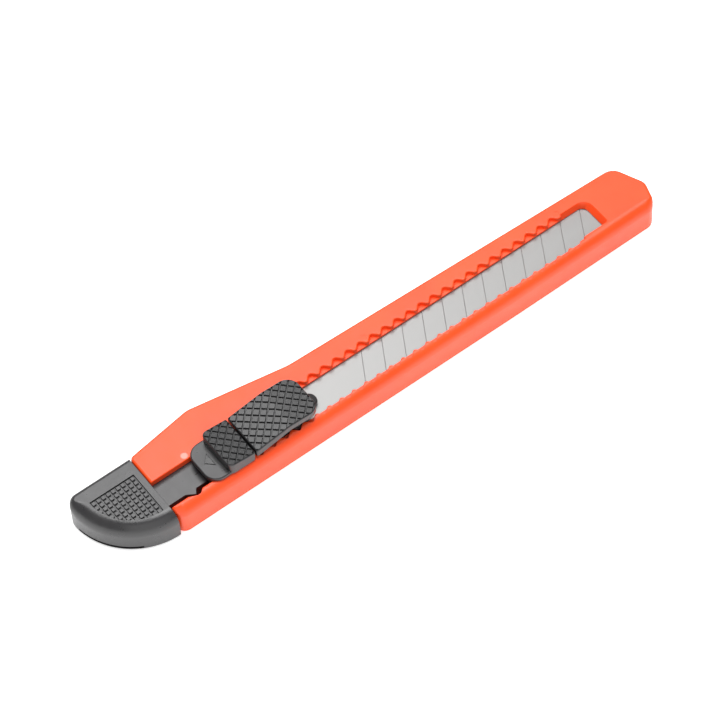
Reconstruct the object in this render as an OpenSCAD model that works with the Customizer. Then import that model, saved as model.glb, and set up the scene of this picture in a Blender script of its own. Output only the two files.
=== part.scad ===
// Snap-off utility knife with a plastic handle, lying flat on its underside.
// X runs to the tip, Y to the cutting-edge side and Z up. The origin is on the underside,
// on the centreline of the slot, half-way along the knife. All lengths are in millimetres.

/* [Handle] */
// Length of the knife from the end cap to the tip
knife_len = 134.6; // [132:0.1:138]
// Thickness of the handle
body_t = 7.5; // [7.2:0.1:8.5]
// Distance from the slot's centreline to the straight side
near_w = 5.8; // [5.6:0.1:6.4]
// Distance from the slot's centreline to the top of the grip bulge
bulge_w = 12.9; // [11.5:0.1:14]

/* [Slot and rack] */
// Half the width of the slot between the rack's crests
slot_hw = 3.5; // [3.4:0.05:3.6]
// Pitch of the rack's scallops
rack_pitch = 3; // [2.9:0.05:3]
// Radius of one scallop
scallop_r = 0.95; // [0.9:0.01:1.1]
// Depth of the scallops below the top face
rack_depth = 0.95; // [0.8:0.05:1.1]

/* [Blade] */
// Width of the blade
blade_w = 9; // [8.8:0.1:9]
// Thickness of the blade
blade_t = 0.4; // [0.36:0.01:0.4]
// Length of the blade along its cutting edge
blade_len = 80; // [78:0.5:80]
// Distance between two score lines
score_pitch = 5; // [4.8:0.1:5]
// Number of score lines
score_count = 12; // [6:1:12]
// Angle between the score lines and the cutting edge
score_angle = 60; // [56:1:60]

/* [Slider] */
// Half the width of the thumb pads
pad_hw = 4.9; // [4.6:0.1:5]
// Height of the rear tab's top above the handle
tab_h = 1; // [0.8:0.1:1.2]
// Height of the rear pad's back edge above the handle
rear_pad_h = 3.3; // [3:0.1:3.6]
// Height of the crease in the front pad above the handle
crease_h = 3.9; // [3.7:0.1:4.5]

/* [End cap] */
// Length of the end cap
cap_len = 15.1; // [14:0.1:15.5]
// Pitch of the squares in the grip panel
grid_pitch = 1.1; // [1:0.05:1.3]

/* [Hidden] */
$fn = 64;
arc_steps = 8;
over = 1;

// Colours
body_colour = [1.0, 0.30, 0.16];
black_colour = [0.13, 0.13, 0.14];
steel_colour = [0.78, 0.79, 0.79];

// Places along X
tip_x = knife_len / 2;
cap_x = -knife_len / 2;
seam_x = cap_x + cap_len;
slot_end_x = tip_x - 13;
shoulder_x = tip_x - 3;
near_shoulder_x = tip_x - 1.7;
taper_x = 30;
bulge_x = -37.2;
grip_end_x = -15.5;

// Places across Y
tip_y = -0.2;
near_tip_w = 5.55;
seam_w = 10.7;
grip_end_w = 9.1;
far_tip_w = 6.75;

// Heights of the blade's channel, and of the deeper channel for the slider's keel
lip_z = body_t - 1.4;
blade_z = lip_z - 0.1 - blade_t;
channel_z = blade_z - 0.1;
channel_hw = blade_w / 2 + 0.25;
keel_z = 1.7;
keel_hw = slot_hw - 0.2;

// Rack: the first crest, the number of scallops and the clear end of the slot
rack_x = -39;
scallop_count = 29;
scallop_y = slot_hw + 0.2;
rack_end_x = rack_x + scallop_count * rack_pitch;
slot_end_near = 3.05;
slot_end_far = 3.95;
rim_w = 0.8;

// Notch in the slot's edge, which the end cap's barb faces
notch_x = -48.3;
notch_tip_x = -46.1;
notch_end_x = -45;
notch_depth = 1;

// Blade: its first score line at y = 0, and its two ends
score_x = -3.8;
score_lean = tan(90 - score_angle);
blade_tip_x = score_x + score_count * score_pitch + score_lean * blade_w / 2;
blade_rear_x = blade_tip_x - blade_len;
blade_hole_x = blade_rear_x + 3;
blade_hole_r = 1.5;
blade_bevel = 1.1;
score_w = 0.1;

// Slider: places along X, front to back
nose_x = -15.7;
lever_front_x = -17.65;
crease_x = -24.8;
part_x = -33.2;
part_gap = 0.3;
pad_rear_x = -39.3;
tab_x = -43.35;
tab_hw = 4.7;
web_rear_x = -38.6;
spine_x = -30.7;
spine_hw = 1.4;
nose_hw = 1.6;
keel_front_x = -16.3;
part_h = 2.6;
lever_front_h = 3.5;
lever_t = 1.6;
run_gap = 0.1;
post_r = 1.35;

// Pivot of the thumb lever
pivot_x = -31.9;
pivot_z = body_t + 0.35;
knuckle_r = 1.1;
pin_r = 0.5;
pin_gap = 0.05;
ear_in = 2.1;
ear_out = 3.1;

// Detent spring: one bent strip with a bridge and two arms
strip_t = 0.3;
arm_root_x = -30;
arm_y = 2.9;
arm_z = lip_z + 0.45;
arm_h = 1.85;
bend_r = 0.45;
bump_x = rack_x + 5.5 * rack_pitch;
bump_y = 3.6;
bump_r = 0.7;

// Wedge ribs under the thumb lever, which push the detent arms in
rib_x = -24.6;
rib_len = 1.6;
rib_rise = 0.6;
rib_in = 1.25;
rib_y = 3.25;

// End cap
cap_far = 10.9;
cap_near = 5.7;
cap_mid_y = 9.2;
cap_corner_r = 2.3;
cap_top_step = 0.9;
panel_x = seam_x - 1.5;
panel_y = 7.1;
panel_a = 10.3;
panel_b = 10.15;
panel_depth = 0.35;
groove_w = 0.3;
tongue_x = -42.4;
tongue_near = -2.1;
barb_y = -3.2;
slit_z = 0.55;
slit_h = 0.6;
slit_depth = 3.5;
slit_end_x = seam_x - 7.3;
slit_far = 7;

// A unit vector along v
function unit(v) = v / norm(v);

// Points of the arc that rounds corner p, between its neighbours a and b
function corner_arc(p, a, b, r) =
    let (u = unit(a - p),
         w = unit(b - p),
         half = acos(u * w) / 2,
         c = p + unit(u + w) * r / sin(half),
         s = p + u * r / tan(half) - c,
         e = p + w * r / tan(half) - c,
         from = atan2(s.y, s.x),
         turn = (atan2(e.y, e.x) - from + 540) % 360 - 180)
    [for (i = [0 : arc_steps]) c + r * [cos(from + turn * i / arc_steps),
                                        sin(from + turn * i / arc_steps)]];

// An outline whose corner i has radius radii[i], with 0 for a sharp corner
function rounded(points, radii) =
    let (n = len(points))
    [for (i = [0 : n - 1])
        each (radii[i] > 0
            ? corner_arc(points[i], points[(i + n - 1) % n], points[(i + 1) % n], radii[i])
            : [points[i]])];

// Points on a quarter of an ellipse, from its -X end to its -Y end
function quarter(cx, cy, a, b, steps, from) =
    [for (i = [0 : steps])
        let (t = from + (90 - from) * i / steps)
        [cx - a * cos(t), cy - b * sin(t)]];

// A box given by its low corner and its high corner
module span(low, high) {
    translate(low) cube(high - low);
}

// A profile in X and Z, extruded over y = -half to +half
module side_profile(points, half) {
    translate([0, half, 0])
        rotate([90, 0, 0])
            linear_extrude(2 * half)
                polygon(points);
}

// ---- Handle ----

function handle_outline() = rounded(
    [[seam_x, -near_w], [taper_x, -near_w], [near_shoulder_x, -near_tip_w], [tip_x, tip_y],
     [shoulder_x, far_tip_w], [grip_end_x, grip_end_w], [bulge_x, bulge_w], [seam_x, seam_w]],
    [0.8, 0, 1.2, 1.2, 3.2, 12, 6, 0.8]);

// The slot with its scalloped rack, cut from the top face
module rack_cut() {
    base = body_t - rack_depth;
    for (i = [0 : scallop_count - 1], side = [-1, 1])
        translate([rack_x + (i + 0.5) * rack_pitch, side * scallop_y, base])
            cylinder(r = scallop_r, h = rack_depth + over);
    translate([0, 0, base])
        linear_extrude(rack_depth + over)
            polygon(rounded([[rack_end_x - over, -slot_end_near],
                             [slot_end_x + rim_w, -slot_end_near],
                             [slot_end_x + rim_w, slot_end_far],
                             [rack_end_x - over, slot_end_far]], [0, 0.6, 2.2, 0]));
}

// The straight part of the slot, which reaches down to the blade's channel
module slot_cut() {
    span([seam_x - over, -slot_hw, channel_z], [rack_end_x - 0.2, slot_hw, body_t + over]);
    translate([0, 0, channel_z])
        linear_extrude(body_t)
            polygon(rounded([[rack_end_x - over, -slot_end_near], [slot_end_x, -slot_end_near],
                             [slot_end_x, slot_hw], [rack_end_x - over, slot_hw]],
                            [0, 0.4, 1.6, 0]));
}

module notch_cut() {
    translate([0, 0, channel_z])
        linear_extrude(body_t)
            polygon([[notch_x, -slot_hw + 0.1], [notch_tip_x, -slot_hw - notch_depth],
                     [notch_end_x, -slot_hw + 0.1]]);
}

// The channel that guides the blade, open at the tip, and the keel's channel below it
module channel_cut() {
    span([seam_x - over, -channel_hw, channel_z], [tip_x + over, channel_hw, lip_z]);
    span([seam_x - over, -keel_hw, keel_z], [slot_end_x, keel_hw, channel_z + 0.1]);
}

module handle() {
    color(body_colour)
        difference() {
            linear_extrude(body_t) polygon(handle_outline());
            rack_cut();
            slot_cut();
            notch_cut();
            channel_cut();
        }
}

// ---- End cap ----

// Outline of the cap: a straight far side and a quarter ellipse, drawn inwards by inset
function cap_outline(inset) =
    let (a = cap_len - inset, b = cap_mid_y + cap_near - inset, far = cap_far - inset)
    concat(
        [[seam_x, far]],
        corner_arc([seam_x - a, far], [seam_x, far], [seam_x - a, far - b], cap_corner_r - inset),
        quarter(seam_x, cap_mid_y, a, b, 20, 5));

module cap_shell() {
    linear_extrude(body_t - cap_top_step) polygon(cap_outline(0));
    linear_extrude(body_t) polygon(cap_outline(cap_top_step));
}

// The recessed panel, with its raised squares left standing
module panel_cut() {
    n = floor(panel_a / grid_pitch);
    edge = concat([[panel_x, panel_y]], quarter(panel_x, panel_y, panel_a, panel_b, 20, 0));
    translate([0, 0, body_t - panel_depth])
        intersection() {
            linear_extrude(panel_depth + over) polygon(edge);
            union() {
                for (i = [0 : n])
                    span([panel_x - i * grid_pitch - groove_w, panel_y - panel_b, 0],
                         [panel_x - i * grid_pitch, panel_y, panel_depth + over]);
                for (i = [0 : n])
                    span([panel_x - panel_a, panel_y - i * grid_pitch - groove_w, 0],
                         [panel_x, panel_y - i * grid_pitch, panel_depth + over]);
            }
        }
}

// The slit in the curved edge where a used blade tip is snapped off
module snap_slit_cut() {
    translate([0, 0, slit_z])
        linear_extrude(slit_h)
            difference() {
                translate([cap_x - over, -cap_near - over])
                    square([slit_end_x - cap_x + over, slit_far + cap_near + over]);
                polygon(cap_outline(slit_depth));
            }
}

// The tongue that closes the rear of the slot, with its barb and the plug under it
module tongue() {
    plug_top = lip_z - 0.1;
    span([seam_x - 3, tongue_near, keel_z + 0.1], [tongue_x, keel_hw - run_gap, plug_top]);
    span([seam_x - 3, tongue_near, blade_z], [tongue_x, blade_w / 2 + run_gap, plug_top]);
    translate([0, 0, plug_top - 1.2])
        linear_extrude(1.2)
            polygon([[notch_x + 0.2, tongue_near + 0.1], [notch_tip_x - 0.2, barb_y],
                     [notch_tip_x + 0.6, tongue_near + 0.1]]);
}

module end_cap() {
    color(black_colour) {
        difference() {
            cap_shell();
            panel_cut();
            snap_slit_cut();
        }
        tongue();
    }
}

// ---- Slider ----

// Keel in the lower channel, flange in the blade's channel and web through the slot
module slider_runner() {
    span([web_rear_x, -keel_hw + run_gap, keel_z + run_gap],
         [keel_front_x, keel_hw - run_gap, blade_z]);
    span([web_rear_x, -blade_w / 2 - run_gap, blade_z - 0.05],
         [blade_rear_x - 0.3, blade_w / 2 + run_gap, blade_z + blade_t]);
    span([web_rear_x, -slot_hw + 0.3, blade_z], [part_x, slot_hw - 0.3, body_t + 0.5]);
    span([part_x - over, -slot_hw + 0.3, blade_z], [spine_x, slot_hw - 0.3, body_t - 0.9]);
    span([spine_x, -spine_hw, blade_z], [blade_rear_x - 0.3, spine_hw, body_t + 0.7]);
}

// Nose over the blade's rear end, and the post that the blade's hole sits on
module blade_holder() {
    nose_low = blade_z + blade_t + 0.45;
    span([blade_rear_x - over, -spine_hw, nose_low],
         [nose_x - nose_hw, spine_hw, body_t + 0.3]);
    translate([nose_x - nose_hw, 0, nose_low])
        cylinder(r = nose_hw, h = body_t + 0.3 - nose_low);
    translate([blade_hole_x, 0, blade_z - 0.2])
        cylinder(r = post_r, h = blade_t + 0.2);
}

// The two ears that hold the lever's pin
module pin_ears() {
    for (side = [-1, 1])
        difference() {
            union() {
                translate([pivot_x, side * (ear_in + ear_out) / 2, pivot_z])
                    rotate([90, 0, 0])
                        cylinder(r = knuckle_r, h = ear_out - ear_in, center = true);
                span([pivot_x - knuckle_r, min(side * ear_in, side * ear_out), body_t - 1.2],
                     [pivot_x + knuckle_r, max(side * ear_in, side * ear_out), pivot_z]);
            }
            translate([pivot_x, side * (ear_in + ear_out) / 2, pivot_z])
                rotate([90, 0, 0])
                    cylinder(r = pin_r, h = ear_out, center = true);
        }
}

// Rear thumb pad, which slopes down to the part line
module rear_pad() {
    low = body_t + run_gap;
    intersection() {
        side_profile([[pad_rear_x, low], [part_x, low], [part_x, body_t + part_h],
                      [pad_rear_x + 0.15, body_t + rear_pad_h]], pad_hw);
        linear_extrude(2 * body_t)
            polygon(rounded([[part_x, -pad_hw], [part_x, pad_hw], [pad_rear_x, pad_hw],
                             [pad_rear_x, -pad_hw]], [0, 0, 1.2, 1.2]));
    }
}

// An open triangle that points to the rear
module arrow_cut() {
    apex = [-42.2, 0];
    base_x = -40.3;
    half = 1.75;
    line = 0.3;
    translate([0, 0, body_t + tab_h - 0.15])
        linear_extrude(over)
            difference() {
                polygon([apex, [base_x, -half], [base_x, half]]);
                polygon([apex + [2 * line, 0], [base_x - line, -half + 2.2 * line],
                         [base_x - line, half - 2.2 * line]]);
            }
}

module rear_tab() {
    span([tab_x + 0.4, -slot_hw + 0.3, lip_z + 0.05],
         [web_rear_x + over, slot_hw - 0.3, body_t + 0.5]);
    difference() {
        translate([0, 0, body_t + run_gap])
            linear_extrude(tab_h - run_gap)
                polygon(rounded([[pad_rear_x + over, -tab_hw], [pad_rear_x + over, tab_hw],
                                 [tab_x, tab_hw], [tab_x, -tab_hw]], [0, 0, 2.8, 2.8]));
        arrow_cut();
    }
}

// Room for the spring's bridge in the web
module bridge_cut() {
    span([arm_root_x - 0.2, -slot_hw, arm_z - 0.1],
         [arm_root_x + 0.2, slot_hw, arm_z + arm_h + over]);
}

module slider_carrier() {
    color(black_colour)
        difference() {
            union() {
                slider_runner();
                blade_holder();
                pin_ears();
                rear_pad();
                rear_tab();
            }
            bridge_cut();
        }
}

// ---- Thumb lever ----

// The raised pad, open underneath, with the knuckle that turns on the pin
module lever_plate() {
    rear = part_x + part_gap;
    intersection() {
        side_profile([[rear, body_t + 0.75], [rear, body_t + part_h],
                      [crease_x, body_t + crease_h], [lever_front_x, body_t + lever_front_h],
                      [lever_front_x, body_t + lever_front_h - lever_t],
                      [crease_x, body_t + crease_h - lever_t],
                      [pivot_x + knuckle_r, body_t + 1]], pad_hw);
        linear_extrude(2 * body_t)
            polygon(rounded([[rear, -pad_hw], [lever_front_x, -pad_hw],
                             [lever_front_x, pad_hw], [rear, pad_hw]], [0, 2.2, 2.6, 0]));
    }
}

module lever_knuckle() {
    half = ear_in - run_gap;
    translate([pivot_x, 0, pivot_z])
        rotate([90, 0, 0])
            cylinder(r = knuckle_r, h = 2 * half, center = true);
}

// Wedges outside the detent arms: pressing the pad drives them down and the arms in
module wedge_ribs() {
    tip_z = arm_z + arm_h + 0.1;
    for (side = [0, 1])
        mirror([0, side, 0])
            translate([rib_x, 0, 0])
                rotate([90, 0, 90])
                    linear_extrude(rib_len)
                        polygon([[rib_y, tip_z], [rib_y + 0.5, tip_z],
                                 [rib_y + 0.5, body_t + crease_h - 1],
                                 [rib_y - rib_in, body_t + crease_h - 1],
                                 [rib_y - rib_in, tip_z + rib_rise]]);
}

module thumb_lever() {
    color(black_colour)
        difference() {
            union() {
                difference() {
                    lever_plate();
                    for (side = [0, 1])
                        mirror([0, side, 0])
                            translate([pivot_x, (ear_in + ear_out) / 2, pivot_z])
                                rotate([90, 0, 0])
                                    cylinder(r = knuckle_r + 0.2, h = ear_out - ear_in + 0.2,
                                             center = true);
                }
                lever_knuckle();
                wedge_ribs();
            }
            translate([pivot_x, 0, pivot_z])
                rotate([90, 0, 0])
                    cylinder(r = pin_r + pin_gap, h = 3 * ear_in, center = true);
        }
}

module lever_pin() {
    color(steel_colour)
        translate([pivot_x, 0, pivot_z])
            rotate([90, 0, 0])
                cylinder(r = pin_r, h = 2 * ear_out, center = true);
}

// ---- Detent spring ----

module detent_spring_bridge() {
    color(steel_colour)
        span([arm_root_x - strip_t / 2, -arm_y + bend_r, arm_z],
             [arm_root_x + strip_t / 2, arm_y - bend_r, arm_z + arm_h]);
}

// One arm, with the bend at its root and the bump that sits in a scallop
module detent_arm() {
    bump_h = rack_depth - 0.15;
    translate([arm_root_x, arm_y, arm_z])
        cylinder(r = bend_r, h = arm_h);
    span([arm_root_x, arm_y - strip_t / 2, arm_z], [bump_x + 1, arm_y + strip_t / 2, arm_z + arm_h]);
    intersection() {
        translate([bump_x, bump_y, arm_z + 0.05])
            cylinder(r = bump_r, h = bump_h);
        span([bump_x - 1, arm_y, 0], [bump_x + 1, 2 * arm_y, 2 * body_t]);
    }
}

module detent_arm_left() {
    color(steel_colour) detent_arm();
}

module detent_arm_right() {
    color(steel_colour) mirror([0, 1, 0]) detent_arm();
}

// ---- Blade ----

// Outline: both ends of the scored part lean at the score angle, and the rear is square
function blade_outline() =
    let (half = blade_w / 2, lean = score_lean * blade_w)
    [[blade_rear_x + 1, -half], [blade_tip_x - lean, -half], [blade_tip_x, half],
     [blade_rear_x + 1, half], [blade_rear_x, half - 1], [blade_rear_x, -half + 1]];

// Cross-section with a double bevel on the far side
module blade_bar() {
    half = blade_w / 2;
    translate([blade_rear_x - over, 0, blade_z])
        rotate([90, 0, 90])
            linear_extrude(blade_len + 2 * over)
                polygon([[-half, 0], [half - blade_bevel, 0], [half, blade_t / 2],
                         [half - blade_bevel, blade_t], [-half, blade_t]]);
}

module score_cuts() {
    for (i = [0 : score_count - 1])
        translate([score_x + i * score_pitch, 0, blade_z + blade_t])
            rotate([0, 0, -(90 - score_angle)])
                rotate([0, 45, 0])
                    cube([score_w, 2 * blade_w, score_w], center = true);
}

module blade() {
    color(steel_colour)
        difference() {
            intersection() {
                blade_bar();
                linear_extrude(body_t) polygon(blade_outline());
            }
            score_cuts();
            translate([blade_hole_x, 0, 0]) cylinder(r = blade_hole_r, h = body_t);
        }
}

handle();
end_cap();
slider_carrier();
thumb_lever();
lever_pin();
detent_spring_bridge();
detent_arm_left();
detent_arm_right();
blade();
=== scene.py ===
"""Looks of a snap-off utility knife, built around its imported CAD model.

Shapes are made in millimetres in the CAD frame, and scaled to metres as meshes are created:
X runs to the tip, Y to the cutting-edge side, Z up, with the knife lying flat on its underside.
"""
import math

import bmesh
import bpy
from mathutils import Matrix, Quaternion, Vector


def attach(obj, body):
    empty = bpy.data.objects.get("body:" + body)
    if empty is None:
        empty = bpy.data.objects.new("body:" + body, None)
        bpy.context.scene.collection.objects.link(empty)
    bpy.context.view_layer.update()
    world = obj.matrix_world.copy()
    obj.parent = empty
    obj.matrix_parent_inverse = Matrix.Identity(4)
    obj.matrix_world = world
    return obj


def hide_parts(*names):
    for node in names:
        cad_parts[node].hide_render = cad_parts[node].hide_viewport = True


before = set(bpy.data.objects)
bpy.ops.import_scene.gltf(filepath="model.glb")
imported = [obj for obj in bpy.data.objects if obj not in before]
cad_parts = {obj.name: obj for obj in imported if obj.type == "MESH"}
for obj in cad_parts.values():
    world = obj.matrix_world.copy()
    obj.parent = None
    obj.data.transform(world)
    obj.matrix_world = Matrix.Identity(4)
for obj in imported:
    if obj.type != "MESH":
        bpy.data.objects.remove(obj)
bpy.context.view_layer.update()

MM = 0.001
EPS = 1e-6              # a length that counts as nothing
NEAR = 1e-3             # how near a point has to be to lie on a line
SHARP = 0.5             # the sine of a turn from which a corner counts as sharp
TURN = [2 * math.pi * k / 32 for k in range(32)]

# Sizes shared with the CAD model, in millimetres. HW is half a width.
TIP_X = 67.3
CAP_X = -67.3
SEAM_X = -52.2          # between the cap and the handle
TOP_Z = 7.5             # the handle's and the cap's flat top
SLOT_HW = 3.5
RACK_PITCH = 3.0
RACK_X = -39.0
RACK_COUNT = 29
RACK_END_X = RACK_X + RACK_COUNT * RACK_PITCH
RACK_DEPTH = 0.95
RACK_WAVE = 0.55        # half of how far a scallop goes into the wall
SLOT_END_X = 54.3
LIP_Z = TOP_Z - 1.4     # the underside of the lips over the blade
BLADE_Z = LIP_Z - 0.5   # the underside of the blade
CHANNEL_Z = BLADE_Z - 0.1
CHANNEL_HW = 4.75
KEEL_Z = 1.7            # the floor of the deep channel that the slider's keel runs in
KEEL_HW = 3.3
BLADE_REAR_X = -21.2
CUT_Z = TOP_Z + 1       # cutters in the top reach up to here


# ---- Flat outlines ----

def rounded(points, radii, steps):
    """A counter-clockwise outline with rounded corners; a radius of 0 leaves a corner as it is."""
    ps = [Vector(p) for p in points]
    out = []
    for i, (p, r) in enumerate(zip(ps, radii)):
        if r <= 0:
            out.append(p.copy())
            continue
        u, w = (p - ps[i - 1]).normalized(), (ps[(i + 1) % len(ps)] - p).normalized()
        half = math.acos(max(-1, min(1, -u.dot(w)))) / 2
        centre = p + (w - u).normalized() * (r / math.sin(half))
        first = p - u * (r / math.tan(half)) - centre
        last = p + w * (r / math.tan(half)) - centre
        start = math.atan2(first.y, first.x)
        turn = (math.atan2(last.y, last.x) - start + 3 * math.pi) % (2 * math.pi) - math.pi
        for k in range(steps + 1):
            t = start + turn * k / steps
            out.append(centre + Vector((math.cos(t), math.sin(t))) * r)
    return out


def offset(points, dist):
    """Each point moved outwards by dist, which is one number or one for each edge."""
    n = len(points)
    out = []
    for i in range(n):
        a, p, b = points[i - 1], points[i], points[(i + 1) % n]
        u, w = (p - a).normalized(), (b - p).normalized()
        nu, nw = Vector((u.y, -u.x)), Vector((w.y, -w.x))
        du, dw = (dist, dist) if isinstance(dist, (int, float)) else (dist[i - 1], dist[i])
        det = nu.x * nw.y - nu.y * nw.x
        if abs(det) < SHARP:
            out.append(p + (nu + nw) * ((du + dw) / 2 / (1 + nu.dot(nw))))
        else:
            out.append(p + Vector((du * nw.y - dw * nu.y, dw * nu.x - du * nw.x)) / det)
    return out


def with_x(points, xs):
    """The outline with a point added wherever it crosses one of the xs."""
    for x in xs:
        out = []
        for i, p in enumerate(points):
            q = points[(i + 1) % len(points)]
            out.append(p)
            if (p.x - x) * (q.x - x) < 0 and min(abs(p.x - x), abs(q.x - x)) > EPS:
                out.append(p.lerp(q, (x - p.x) / (q.x - p.x)))
        points = out
    return points


def clip(poly, region):
    """The part of a convex polygon inside a counter-clockwise convex region."""
    for i in range(len(region)):
        a, b = region[i], region[(i + 1) % len(region)]
        d = b - a
        if d.length < EPS:
            continue
        side = [d.x * (p.y - a.y) - d.y * (p.x - a.x) for p in poly]
        out = []
        for k, p in enumerate(poly):
            q, sp, sq = poly[(k + 1) % len(poly)], side[k], side[(k + 1) % len(poly)]
            if sp >= 0:
                out.append(p)
            if sp * sq < 0:
                out.append(p.lerp(q, sp / (sp - sq)))
        poly = out
        if len(poly) < 3:
            return []
    return poly


def area(poly):
    """The area of a counter-clockwise polygon."""
    return sum(p.x * q.y - q.x * p.y for p, q in zip(poly, poly[1:] + poly[:1])) / 2


# ---- Solids ----

def level(z):
    """The same height everywhere."""
    return lambda x: z


def piecewise(*knots):
    """A height that runs straight between (x, z) knots."""
    def height(x):
        for (xa, za), (xb, zb) in zip(knots, knots[1:]):
            if x <= xb:
                return za + (zb - za) * (x - xa) / (xb - xa)
        return knots[-1][1]
    return height


def cap_faces(ring, points, splits):
    """A flat cap over a ring of indices, split where the surface bends."""
    for x in splits:
        at = [k for k, i in enumerate(ring) if abs(points[i][0] - x) < NEAR]
        if len(at) == 2 and at[1] - at[0] > 1 and at[1] - at[0] < len(ring) - 1:
            one = ring[at[0]:at[1] + 1]
            two = ring[at[1]:] + ring[:at[0] + 1]
            rest = [s for s in splits if s != x]
            return cap_faces(one, points, rest) + cap_faces(two, points, rest)
    return [ring]


def loft(rings, splits=()):
    """Points and faces of a solid through rings of the same length, from bottom to top."""
    n = len(rings[0])
    points = [p for ring in rings for p in ring]
    faces = []
    for k in range(len(rings) - 1):
        for i in range(n):
            j = (i + 1) % n
            faces.append([k * n + i, k * n + j, (k + 1) * n + j, (k + 1) * n + i])
    faces += [f[::-1] for f in cap_faces(list(range(n)), points, splits)]
    faces += cap_faces(list(range((len(rings) - 1) * n, len(rings) * n)), points, splits)
    return points, faces


def edge_radii(outline, r):
    """One radius for each edge: r is a number, or a function of the edge's midpoint."""
    if callable(r):
        return [r((p + q) / 2) for p, q in zip(outline, outline[1:] + outline[:1])]
    return [r] * len(outline)


def corner_radii(outline, radii):
    """The radius at each point: the mean of its two edges, or the larger at a sharp corner."""
    out = []
    for i, p in enumerate(outline):
        u = (p - outline[i - 1]).normalized()
        w = (outline[(i + 1) % len(outline)] - p).normalized()
        sharp = abs(u.x * w.y - u.y * w.x) > SHARP
        pair = (radii[i - 1], radii[i])
        out.append(max(pair) if sharp else sum(pair) / 2)
    return out


def slab(outline, low, high, r_low=0.0, r_high=0.0, splits=(), steps=4, tall=1.0):
    """A solid between two heights, each a function of x, with its two rims rounded.

    The top rim is an ellipse: tall is its height over its width.
    """
    rings = []
    outline = with_x(outline, splits)
    r_low, r_high = [edge_radii(outline, r) for r in (r_low, r_high)]
    z_low, z_high = [corner_radii(outline, r) for r in (r_low, r_high)]
    for k in range(steps + 1):
        t = math.pi / 2 * k / steps
        if max(r_low) > 0 or k == steps:
            pts = offset(outline, [-r * (1 - math.sin(t)) for r in r_low])
            rings.append([(p.x, p.y, low(p.x) + z * (1 - math.cos(t)))
                          for p, z in zip(pts, z_low)])
    for k in range(steps + 1):
        t = math.pi / 2 * k / steps
        if max(r_high) > 0 or k == steps:
            pts = offset(outline, [-r * (1 - math.cos(t)) for r in r_high])
            rings.append([(p.x, p.y, high(p.x) - tall * z * (1 - math.sin(t)))
                          for p, z in zip(pts, z_high)])
    return loft(rings, splits)


def prism(outline, *heights):
    """An upright solid with the same outline at each height."""
    return loft([[(p[0], p[1], z) for p in outline] for z in heights])


def box_solid(low, high, r=0.0):
    """A box given by two corners, with rounded upright edges and rims where r is given."""
    corners = [(low[0], low[1]), (high[0], low[1]), (high[0], high[1]), (low[0], high[1])]
    if r <= 0:
        return prism(corners, low[2], high[2])
    return slab(rounded(corners, [r * 1.05] * 4, 3), level(low[2]), level(high[2]), r, r, steps=3)


def disc(x, y, r, z0, z1):
    """An upright cylinder."""
    return prism([(x + r * math.cos(t), y + r * math.sin(t)) for t in TURN], z0, z1)


def rod_y(x, z, r, y0, y1):
    """A cylinder along Y."""
    ring = [(x + r * math.sin(t), z + r * math.cos(t)) for t in TURN]
    return loft([[(a, y, b) for a, b in ring] for y in (y1, y0)])


def join(*solids):
    """Several solids as one, for one boolean."""
    points, faces = [], []
    for p, f in solids:
        faces += [[i + len(points) for i in face] for face in f]
        points += list(p)
    return points, faces


def make(name, solid):
    """A Blender object from a solid in millimetres."""
    points, faces = solid
    mesh = bpy.data.meshes.new(name)
    mesh.from_pydata([Vector(p) * MM for p in points], [], faces)
    mesh.validate()
    obj = bpy.data.objects.new(name, mesh)
    bpy.context.collection.objects.link(obj)
    return obj


def bake(obj):
    """Applies the object's modifiers to its mesh."""
    view = bpy.context.evaluated_depsgraph_get()
    mesh = bpy.data.meshes.new_from_object(obj.evaluated_get(view))
    old = obj.data
    obj.modifiers.clear()
    obj.data = mesh
    mesh.name = obj.name
    bpy.data.meshes.remove(old)


def combine(obj, *solids, cut=False, crossing=False):
    """Adds solids to the object, or cuts them from it, one after another.

    crossing says that a solid may cross itself, which takes longer.
    """
    for solid in solids:
        tool = make("tool", solid)
        mod = obj.modifiers.new("bool", "BOOLEAN")
        mod.operation = "DIFFERENCE" if cut else "UNION"
        mod.solver = "EXACT"
        mod.use_self = crossing
        mod.object = tool
        bake(obj)
        bpy.data.objects.remove(tool)


def add(obj, solid):
    """Sets more solids into the object's mesh: their feet stand a little inside it."""
    old, extra = obj.data, make("extra", solid)
    mesh = bmesh.new()
    mesh.from_mesh(old)
    mesh.from_mesh(extra.data)
    mesh.to_mesh(old)
    mesh.free()
    bpy.data.objects.remove(extra)


def smooth(obj):
    """Smooth shading that keeps flat faces flat and real edges sharp."""
    obj.data.shade_smooth()
    obj.data.set_sharp_from_angle(angle=math.radians(32))
    mod = obj.modifiers.new("normals", "WEIGHTED_NORMAL")
    mod.keep_sharp = True
    bake(obj)


# ---- Materials ----

GRAIN_DEPTH = 0.05 * MM


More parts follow.
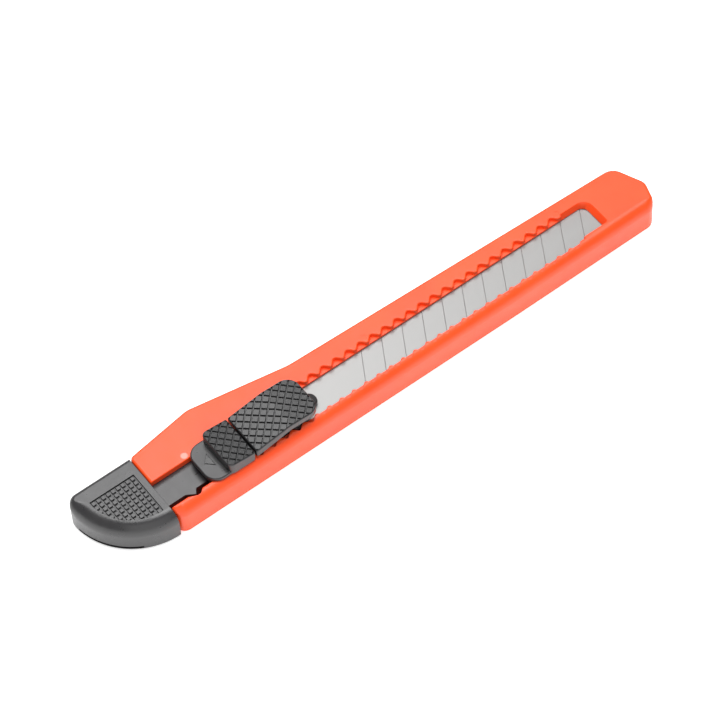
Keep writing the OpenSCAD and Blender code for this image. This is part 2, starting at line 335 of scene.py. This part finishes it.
def material(name, colours, roughness, noise_scale, bump, grain, metallic=0.0, spots=(),
             stretch=(1, 1, 1), ior=1.5):
    """A procedural finish: two near colours, uneven gloss and a fine moulded or ground grain.

    Each spot is a place and a radius in millimetres, and the colour there.
    """
    mat = bpy.data.materials.new(name)
    mat.use_nodes = True
    tree = mat.node_tree
    nodes, links = tree.nodes, tree.links
    shader = nodes["Principled BSDF"]
    shader.inputs["Metallic"].default_value = metallic
    shader.inputs["IOR"].default_value = ior
    coord = nodes.new("ShaderNodeTexCoord")
    mapping = nodes.new("ShaderNodeMapping")
    mapping.inputs["Scale"].default_value = stretch
    links.new(coord.outputs["Object"], mapping.inputs["Vector"])

    def noise(scale, detail):
        tex = nodes.new("ShaderNodeTexNoise")
        tex.inputs["Scale"].default_value = scale
        tex.inputs["Detail"].default_value = detail
        links.new(mapping.outputs["Vector"], tex.inputs["Vector"])
        return tex

    def ramp(source, low, high, a, b):
        """Takes source from the range low to high into the range a to b."""
        out = nodes.new("ShaderNodeMapRange")
        out.inputs["From Min"].default_value = low
        out.inputs["From Max"].default_value = high
        out.inputs["To Min"].default_value = a
        out.inputs["To Max"].default_value = b
        links.new(source, out.inputs["Value"])
        return out.outputs["Result"]

    broad = noise(noise_scale, 3)
    mix = nodes.new("ShaderNodeMix")
    mix.data_type = "RGBA"
    mix.inputs["A"].default_value = (*colours[0], 1)
    mix.inputs["B"].default_value = (*colours[1], 1)
    links.new(ramp(broad.outputs["Fac"], 0.35, 0.65, 0, 1), mix.inputs["Factor"])
    colour = mix.outputs["Result"]
    for place, radius, tint in spots:
        away = nodes.new("ShaderNodeVectorMath")
        away.operation = "DISTANCE"
        away.inputs[1].default_value = [c * MM for c in place]
        links.new(coord.outputs["Object"], away.inputs[0])
        dab = nodes.new("ShaderNodeMix")
        dab.data_type = "RGBA"
        dab.inputs["B"].default_value = (*tint, 1)
        links.new(ramp(away.outputs["Value"], radius * 0.75 * MM, radius * 1.1 * MM, 1, 0),
                  dab.inputs["Factor"])
        links.new(colour, dab.inputs["A"])
        colour = dab.outputs["Result"]
    links.new(colour, shader.inputs["Base Color"])
    links.new(ramp(noise(noise_scale * 4, 4).outputs["Fac"], 0.3, 0.7, *roughness),
              shader.inputs["Roughness"])
    fine = nodes.new("ShaderNodeBump")
    fine.inputs["Strength"].default_value = bump
    fine.inputs["Distance"].default_value = GRAIN_DEPTH
    links.new(noise(grain, 2).outputs["Fac"], fine.inputs["Height"])
    links.new(fine.outputs["Normal"], shader.inputs["Normal"])
    return mat


# The moulding's small round ejector marks: centre and radius. The first one is pale.
MARKS = [((-43.6, 4.5), 0.75), ((-43.9, -4.4), 0.7), ((-29.8, -5.2), 0.55), ((0, 4.9), 0.6),
         ((48.3, 4.6), 0.6), ((48.7, -4.1), 0.6)]
MARK_DEPTH = 0.06
orange = material("orange_plastic", [(0.95, 0.068, 0.006), (0.95, 0.080, 0.009)], (0.34, 0.42), 90,
                  0.25, 9000, spots=[((*MARKS[0][0], TOP_Z), MARKS[0][1], (0.95, 0.30, 0.24))])
black = material("black_plastic", [(0.022, 0.021, 0.023), (0.029, 0.028, 0.029)], (0.26, 0.34),
                 120, 0.35, 6500, ior=1.6)
knurled = material("slider_plastic", [(0.015, 0.015, 0.016), (0.022, 0.021, 0.022)], (0.26, 0.34),
                   120, 0.35, 6500, ior=1.55)
steel = material("blade_steel", [(0.26, 0.26, 0.257), (0.30, 0.30, 0.296)], (0.34, 0.40), 60, 0.20,
                 900, metallic=0.5, stretch=(0.06, 1, 1))
spring = material("spring_steel", [(0.40, 0.40, 0.41), (0.48, 0.48, 0.49)], (0.28, 0.36), 200, 0.2,
                  3000, metallic=1.0)


def dress(obj, mat, slot, body, *nodes):
    """Gives a piece its material and its body, and hides the CAD nodes it stands for. slot is not
    used.
    """
    obj.data.materials.clear()
    obj.data.materials.append(mat)
    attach(obj, body)
    if nodes:
        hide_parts(*nodes)


# ---- Handle ----

# Its corners, and the radius at each
HANDLE = [(SEAM_X, -5.8), (30, -5.8), (65.6, -5.55), (TIP_X, -0.2), (64.3, 6.75), (-15.5, 9.1),
          (-37.2, 12.9), (SEAM_X, 10.7)]
HANDLE_R = [2.3, 0, 2.5, 2.3, 3.2, 12, 6, 1.1]


# Across this strip of Y the rims go over from the thumb side to the rest
THUMB_SIDE = (-5.6, -3.6)
RACK_EDGE_R = 0.28


def blend_to(value, start, end):
    """0 before start, 1 after end and smooth in between."""
    t = min(1, max(0, (value - start) / (end - start)))
    return t * t * (3 - 2 * t)


def handle_rim(mid):
    """The top rim's radius: broad along the thumb side, narrow round the rest."""
    return 2.2 - 1.6 * blend_to(mid.y, *THUMB_SIDE)


def handle_foot(mid):
    """The bottom rim's radius: small along the thumb side."""
    return 0.25 + 0.45 * blend_to(mid.y, *THUMB_SIDE)


def wave(side, steps=14):
    """One side of the rack from back to front, with so many steps to a scallop."""
    out = []
    for k in range(RACK_COUNT * steps + 1):
        x = RACK_X + RACK_PITCH * k / steps
        phase = 2 * math.pi * (x - RACK_X) / RACK_PITCH
        out.append(Vector((x, side * (SLOT_HW + RACK_WAVE * (1 - math.cos(phase))))))
    return out


def slot_sides(*front):
    """The slot's outline: its rear, with the notch for the barb, and then the points in front."""
    notch = [(-48.3, -SLOT_HW), (-46.1, -SLOT_HW - 1), (-45, -SLOT_HW)]
    rear = SEAM_X - 3
    return [Vector(p) for p in ((rear, -SLOT_HW), *notch, *front, (rear, SLOT_HW))]


def rack_outline():
    """The slot at the top, where the rack is."""
    end = [(RACK_END_X + 1, -SLOT_HW), (RACK_END_X + 1, SLOT_HW)]
    return slot_sides(*wave(-1), *end, *wave(1)[::-1])


def slot_end():
    """The sloping wall at the front end of the slot."""
    rings = []
    for z, out in ((TOP_Z - 1.3, 0), (TOP_Z - 0.2, 0.75), (TOP_Z, 0.95), (CUT_Z, 1.1)):
        rings.append([(p.x, p.y, z) for p in rounded(
            [(RACK_END_X + 0.5, -3.2), (SLOT_END_X + out, -3.2),
             (SLOT_END_X + out, SLOT_HW + 0.6 * out), (RACK_END_X + 0.5, SLOT_HW + 0.6 * out)],
            [0, 0.5, 1.8 + 0.7 * out, 0.3], 10)])
    return loft(rings)


def slot_outline():
    """The slot below the rack, with straight sides."""
    return slot_sides(*rounded(
        [(RACK_END_X - 1, -SLOT_HW), (SLOT_END_X - 0.4, -3.1), (SLOT_END_X, -2.7),
         (SLOT_END_X, SLOT_HW), (RACK_END_X - 1, SLOT_HW)], [0, 0.3, 0, 1.6, 0], 6))


def flared(outline, low, high, rim, steps=4):
    """A cutter that leaves a rounded rim of radius rim at height high."""
    rings = [[(p.x, p.y, low) for p in outline]]
    for k in range(steps + 1):
        t = math.pi / 2 * k / steps
        pts = offset(outline, rim * (1 - math.cos(t)))
        rings.append([(p.x, p.y, high - rim * (1 - math.sin(t))) for p in pts])
    rings.append([(x, y, high + 1) for x, y, _ in rings[-1]])
    return loft(rings)


def build_handle():
    outline = rounded(HANDLE, HANDLE_R, 10)
    body = make("handle_shell", slab(outline, level(0), level(TOP_Z), handle_foot, handle_rim,
                                     steps=9, tall=1.1))
    rack_z = TOP_Z - RACK_DEPTH
    combine(body, flared(rack_outline(), rack_z, TOP_Z, RACK_EDGE_R), cut=True, crossing=True)
    combine(body, slot_end(), prism(slot_outline(), CHANNEL_Z, rack_z + 0.01),
            box_solid((SEAM_X - 1, -CHANNEL_HW, CHANNEL_Z), (TIP_X + 1, CHANNEL_HW, LIP_Z)),
            box_solid((SEAM_X - 1, -KEEL_HW, KEEL_Z), (SLOT_END_X, KEEL_HW, CHANNEL_Z + 0.1)),
            join(*[disc(x, y, r, TOP_Z - MARK_DEPTH, CUT_Z) for (x, y), r in MARKS]), cut=True)
    smooth(body)
    dress(body, orange, "handle_plastic", "handle", "handle")


# ---- End cap ----

# Its curved side is a quarter of an ellipse with half axes CAP_A and CAP_B, about a point on the
# seam at CAP_MID_Y. It starts CAP_FROM degrees along, where the rear corner ends.
CAP_A = SEAM_X - CAP_X
CAP_MID_Y = 9.2
CAP_B = CAP_MID_Y + 5.7
CAP_FAR = 10.9
CAP_FROM = 5
SLIT_Z = (0.55, 1.15)
PLUG_Z = LIP_Z - 0.1
TONGUE_X = -42.4        # its front end
TONGUE_Y = -2.1         # its near edge
BARB = (-48.1, -46.3, -45.5)
BARB_Y = -3.2

# The sunken panel: its square corner, and the half axes of its curved side
PANEL_X = SEAM_X - 1.5
PANEL_Y = 7.1
PANEL_A = 10.3
PANEL_B = 10.15
PANEL_DEPTH = 0.4
PANEL_GAP = 0.28        # between the squares and the panel's straight sides

# The raised tiles' bevel, how far their feet go below the sunken floor, and the least area kept
BEVEL = 0.06
FOOT = 0.12
LEAST = 0.08


def cap_arc(inset, first, last, steps):
    """Points on the cap's curved side, from angle first to angle last."""
    out = []
    for k in range(steps + 1):
        t = math.radians(first + (last - first) * k / steps)
        out.append(Vector((SEAM_X - (CAP_A - inset) * math.cos(t),
                           CAP_MID_Y - (CAP_B - inset) * math.sin(t))))
    return out


def cap_outline():
    arc = cap_arc(0, CAP_FROM, 90, 40)
    corner = rounded([(SEAM_X, CAP_FAR), (CAP_X, CAP_FAR), arc[0]], [0, 2.3, 0], 12)
    return corner[:-1] + arc


def cap_rim(mid):
    """The top rim's radius: small at the seam, and full on the curved side."""
    if abs(mid.x - SEAM_X) < EPS:
        return 0.25
    return 1.1 + 1.7 * blend_to(CAP_FAR - mid.y, 0, 4)


def panel_outline():
    out = [Vector((PANEL_X, PANEL_Y))]
    for k in range(25):
        t = math.radians(90 * k / 24)
        out.append(Vector((PANEL_X - PANEL_A * math.cos(t), PANEL_Y - PANEL_B * math.sin(t))))
    return out


def tile(poly, surface, depth, crease):
    """One raised tile with a bevelled top, as a closed solid."""
    if crease is not None:
        poly = with_x(poly, [crease])
    mid = sum(poly, Vector((0, 0))) / len(poly)
    size = math.sqrt(abs(area(poly)))
    k = 1 - 2 * BEVEL / max(size, 3 * BEVEL)
    return loft([[(p.x, p.y, surface(p.x) - depth - FOOT) for p in poly],
                 [(p.x, p.y, surface(p.x) - BEVEL) for p in poly],
                 [(p.x, p.y, surface(p.x)) for p in (mid + (p - mid) * k for p in poly)]])


def tiles(pitch, groove, turn, origin, region, surface, depth, crease=None):
    """Square tiles on a grid turned by so many degrees, clipped to a convex region.

    Where the surface bends at x = crease, the tiles bend with it.
    """
    c, s = math.cos(math.radians(turn)), math.sin(math.radians(turn))
    half = (pitch - groove) / 2
    span = 24
    out = []
    for i in range(-span, span + 1):
        for j in range(-span, span + 1):
            x, y = i * pitch, j * pitch
            cell = [Vector((origin[0] + (x + a) * c - (y + b) * s,
                            origin[1] + (x + a) * s + (y + b) * c))
                    for a, b in ((-half, -half), (half, -half), (half, half), (-half, half))]
            cell = clip(cell, region)
            if cell and area(cell) > LEAST:
                out.append(tile(cell, surface, depth, crease))
    return join(*out)


def build_cap():
    outline = cap_outline()
    cap = make("end_cap_shell", slab(outline, level(0), level(TOP_Z), 0.5, cap_rim,
                                     steps=9, tall=1.15))
    slit = cap_arc(-1.5, 8, 61, 24) + cap_arc(3.5, 8, 61, 24)[::-1]
    panel = panel_outline()
    combine(cap, prism(slit, *SLIT_Z), prism(panel, TOP_Z - PANEL_DEPTH, CUT_Z), cut=True)
    region = offset(panel, [-PANEL_GAP] + [0.06] * (len(panel) - 2) + [-PANEL_GAP])
    squares = tiles(1.13, 0.34, 0, (PANEL_X - PANEL_GAP - 0.4, PANEL_Y - PANEL_GAP - 0.4), region,
                    level(TOP_Z - 0.04), 0.36)
    rear = SEAM_X - 3
    heel, tip, toe = BARB
    plate = rounded([(rear, TONGUE_Y), (heel, TONGUE_Y), (tip, BARB_Y), (toe, TONGUE_Y),
                     (TONGUE_X, TONGUE_Y), (TONGUE_X, 4.6), (rear, 4.6)],
                    [0, 0.2, 0.25, 0.2, 0.3, 0.3, 0], 4)
    barb = rounded([(heel, TONGUE_Y + 0.1), (tip, BARB_Y), (toe, TONGUE_Y + 0.1)],
                   [0, 0.25, 0], 4)
    combine(cap, box_solid((rear, TONGUE_Y, KEEL_Z + 0.1), (TONGUE_X, 3.2, PLUG_Z - 0.3), 0.1),
            slab(plate, level(PLUG_Z - 0.38), level(PLUG_Z), 0.0, 0.12, steps=3),
            slab(barb, level(PLUG_Z - 1.2), level(PLUG_Z - 0.05)))
    add(cap, squares)
    smooth(cap)
    dress(cap, black, "cap_plastic", "cap", "end_cap")


# ---- Slider ----

PART_X = -33.2          # between the rear pad and the lever
PAD_REAR_X = -39.3
PAD_HW = 4.9
TAB_X = -43.35
LEVER_FRONT_X = -17.65
CREASE_X = -24.8
LOW_BEND_X = -30.8      # where the lever's underside bends
PIVOT = (-31.9, TOP_Z + 0.35)
PIN_R = 0.5
BOSS_R = 1.1
KEEL_X = (-38.6, -16.3)
INNER_HW = 3.2          # of all that runs between the slot's walls
FLANGE_HW = 4.6
WEB_X = -30.7           # where the broad web ends and the narrow one starts
WEB_HW = 1.4
NOSE_X = -15.4

# The diamond knurl: pitch, groove, a point on its grid, the rim round it and its sunken floor
KNURL = 1.45
KNURL_GROOVE = 0.27
KNURL_AT = (-30.0, 0.0)
RIM = 0.22
POCKET = 0.4


def pad(name, outline, low, high, splits, r_low):
    """A thumb pad sunken inside a thin rim, and the diamond knurl that is set into it last."""
    body = make(name, slab(outline, low, high, r_low, 0.35, splits, steps=5))
    inner = offset(outline, -RIM)
    combine(body, slab(inner, lambda x: high(x) - POCKET, lambda x: high(x) + 1, 0, 0, splits),
            cut=True)
    crease = splits[0] if splits else None
    return body, tiles(KNURL, KNURL_GROOVE, 45, KNURL_AT, offset(inner, 0.04),
                       lambda x: high(x) - 0.03, POCKET, crease)


def build_carrier():
    rear_low = level(TOP_Z + 0.1)
    top = piecewise((PAD_REAR_X, TOP_Z + 3.3), (PART_X, TOP_Z + 2.6))
    outline = rounded([(PART_X, -PAD_HW), (PART_X, PAD_HW), (PAD_REAR_X, PAD_HW),
                       (PAD_REAR_X, -PAD_HW)], [0.36, 0.36, 1.3, 1.3], 8)
    body, knurl = pad("slider_body", outline, rear_low, top, (), 0.15)
    tab = rounded([(PAD_REAR_X + 1, -4.7), (PAD_REAR_X + 1, 4.7), (TAB_X, 4.7), (TAB_X, -4.7)],
                  [0, 0, 2.9, 2.9], 10)
    hull = [slab(tab, rear_low, level(TOP_Z + 1), 0.12, 0.32, steps=5),
            box_solid((TAB_X + 0.4, -INNER_HW, LIP_Z + 0.05),
                      (PAD_REAR_X + 1, INNER_HW, TOP_Z + 0.5), 0.1),
            box_solid((KEEL_X[0], -INNER_HW, KEEL_Z + 0.1), (KEEL_X[1], INNER_HW, BLADE_Z), 0.15),
            box_solid((KEEL_X[0], -FLANGE_HW, BLADE_Z - 0.05),
                      (BLADE_REAR_X - 0.3, FLANGE_HW, BLADE_Z + 0.4), 0.1),
            box_solid((KEEL_X[0], -INNER_HW, BLADE_Z), (PART_X, INNER_HW, TOP_Z + 0.5), 0.1),
            box_solid((PART_X - 1, -INNER_HW, BLADE_Z), (WEB_X, INNER_HW, TOP_Z - 0.9), 0.1),
            box_solid((WEB_X, -WEB_HW, BLADE_Z), (BLADE_REAR_X - 0.3, WEB_HW, TOP_Z + 0.7), 0.1)]
    nose = rounded([(BLADE_REAR_X - 1, -WEB_HW), (NOSE_X, -1.6), (NOSE_X, 1.6),
                    (BLADE_REAR_X - 1, WEB_HW)], [0, 1.5, 1.5, 0], 10)
    nose_top = piecewise((-20, TOP_Z + 0.5), (-15, TOP_Z - 0.6))
    hull += [slab(nose, level(BLADE_Z + 0.85), nose_top, 0.1, 0.3),
             disc(BLADE_REAR_X + 3, 0, 1.35, BLADE_Z - 0.2, BLADE_Z + 0.2)]
    for side in (-1, 1):
        y0, y1 = sorted((side * 2.1, side * 3.1))
        hull += [rod_y(*PIVOT, BOSS_R, y0, y1),
                 box_solid((PIVOT[0] - BOSS_R, y0, TOP_Z - 1.2), (PIVOT[0] + BOSS_R, y1, PIVOT[1]))]
    combine(body, *hull)
    # The arrow on the tab: the outline of a triangle, sunk into it as three bars
    apex, base, half, line = -42.0, -40.25, 1.7, 0.2
    outer = [Vector((apex, 0)), Vector((base, -half)), Vector((base, half))]
    inner = offset(outer, -line)
    bars = [prism((outer[i], outer[j], inner[j], inner[i]), TOP_Z + 0.85, TOP_Z + 2)
            for i, j in ((0, 1), (1, 2), (2, 0))]
    combine(body, *bars, cut=True)
    # The pin's bore, and the gap in which the spring's bridge stands
    combine(body, rod_y(*PIVOT, PIN_R, -4, 4),
            box_solid((-30.2, -3.5, LIP_Z + 0.35), (-29.8, 3.5, LIP_Z + 3.3)), cut=True)
    add(body, knurl)
    smooth(body)
    dress(body, knurled, "slider_plastic", "slider", "slider_carrier")


def build_lever():
    rear = PART_X + 0.3
    high = piecewise((rear, TOP_Z + 2.6), (CREASE_X, TOP_Z + 3.9), (LEVER_FRONT_X, TOP_Z + 3.5))
    low = piecewise((rear, TOP_Z + 0.75), (LOW_BEND_X, TOP_Z + 1), (CREASE_X, TOP_Z + 2.3),
                    (LEVER_FRONT_X, TOP_Z + 1.9))
    outline = rounded([(rear, -PAD_HW), (LEVER_FRONT_X, -PAD_HW), (LEVER_FRONT_X, PAD_HW),
                       (rear, PAD_HW)], [0.36, 2.3, 2.8, 0.36], 10)
    body, knurl = pad("thumb_lever_pad", outline, low, high, (CREASE_X, LOW_BEND_X), 0.15)
    wells = [rod_y(*PIVOT, BOSS_R + 0.2, y0, y1) for y0, y1 in ((-3.2, -2.0), (2.0, 3.2))]
    combine(body, *wells, cut=True)
    combine(body, rod_y(*PIVOT, BOSS_R, -2, 2))
    # Two ribs below the pad, whose tips stand just over the spring's arms
    arm_top = LIP_Z + 0.45 + 1.85
    tip_z = arm_top + 0.1
    rib = [(3.25, tip_z), (3.75, tip_z), (3.75, TOP_Z + 2.9), (2.0, TOP_Z + 2.9),
           (2.0, tip_z + 0.6)]
    for side in (-1, 1):
        rings = [[(x, side * y, z) for y, z in rib] for x in (-24.6, -23.0)]
        combine(body, loft(rings[::side]))
    combine(body, rod_y(*PIVOT, PIN_R + 0.05, -6, 6), cut=True)
    add(body, knurl)
    smooth(body)
    dress(body, knurled, "slider_plastic", "lever", "thumb_lever")


build_handle()
build_cap()
build_carrier()
build_lever()
# The steel pieces keep their CAD meshes
for node in ("blade", "lever_pin", "detent_spring_bridge", "detent_arm_left", "detent_arm_right"):
    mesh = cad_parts[node].data
    mesh.materials.clear()
    mesh.materials.append(steel if node == "blade" else spring)


# ---- Stage, light and camera ----

def floor():
    """A pale sheet that glows a little, just below the knife's flat underside."""
    mesh = bpy.data.meshes.new("floor")
    half, low = 2.0, -0.02 * MM
    mesh.from_pydata([(-half, -half, low), (half, -half, low), (half, half, low),
                      (-half, half, low)], [], [(0, 1, 2, 3)])
    obj = bpy.data.objects.new("floor", mesh)
    bpy.context.collection.objects.link(obj)
    mat = bpy.data.materials.new("floor_white")
    mat.use_nodes = True
    shader = mat.node_tree.nodes["Principled BSDF"]
    shader.inputs["Base Color"].default_value = (0.92, 0.92, 0.92, 1)
    shader.inputs["Roughness"].default_value = 0.9
    shader.inputs["Specular IOR Level"].default_value = 0.1
    shader.inputs["Emission Color"].default_value = (1, 1, 1, 1)
    shader.inputs["Emission Strength"].default_value = 0.5
    mesh.materials.append(mat)


def softbox(name, direction, distance, size, radiance):
    """A rectangular light that faces the knife, with its two sides and how bright its face is."""
    light = bpy.data.lights.new(name, "AREA")
    light.shape = "RECTANGLE"
    light.size, light.size_y = size
    light.energy = radiance * math.pi * size[0] * size[1]
    obj = bpy.data.objects.new(name, light)
    bpy.context.collection.objects.link(obj)
    way = Vector(direction).normalized()
    obj.location = way * distance
    obj.rotation_mode = "QUATERNION"
    obj.rotation_quaternion = way.to_track_quat("Z", "Y")


def camera():
    """The camera: where it stands round the point that it looks at, in degrees and metres."""
    azimuth, elevation, roll = (math.radians(a) for a in (-33.673, 56.458, -3.968))
    distance = 0.67217
    aim = Vector((-0.00105, 0.005193, 0))
    way = Vector((math.sin(azimuth) * math.cos(elevation),
                  -math.cos(azimuth) * math.cos(elevation), math.sin(elevation)))
    data = bpy.data.cameras.new("camera")
    data.sensor_width = 36
    data.lens = 169.68
    data.clip_end = 10
    obj = bpy.data.objects.new("camera", data)
    bpy.context.collection.objects.link(obj)
    obj.location = aim + way * distance
    obj.rotation_mode = "QUATERNION"
    obj.rotation_quaternion = (-way).to_track_quat("-Z", "Y") @ Quaternion((0, 0, 1), roll)
    bpy.context.scene.camera = obj


floor()
world = bpy.data.worlds.new("studio")
bpy.context.scene.world = world
world.use_nodes = True
sky = world.node_tree.nodes["Background"]
sky.inputs["Color"].default_value = (1, 1, 1, 1)
sky.inputs["Strength"].default_value = 0.32
softbox("key", (0.08, 0.42, 0.90), 0.9, (0.55, 0.55), 4.2)
softbox("top", (0.12, -0.02, 0.99), 0.9, (0.42, 0.80), 6.0)
softbox("fill", (-0.35, -0.80, 0.45), 1.0, (0.9, 0.9), 0.9)
camera()
bpy.context.scene.view_settings.view_transform = "Standard"
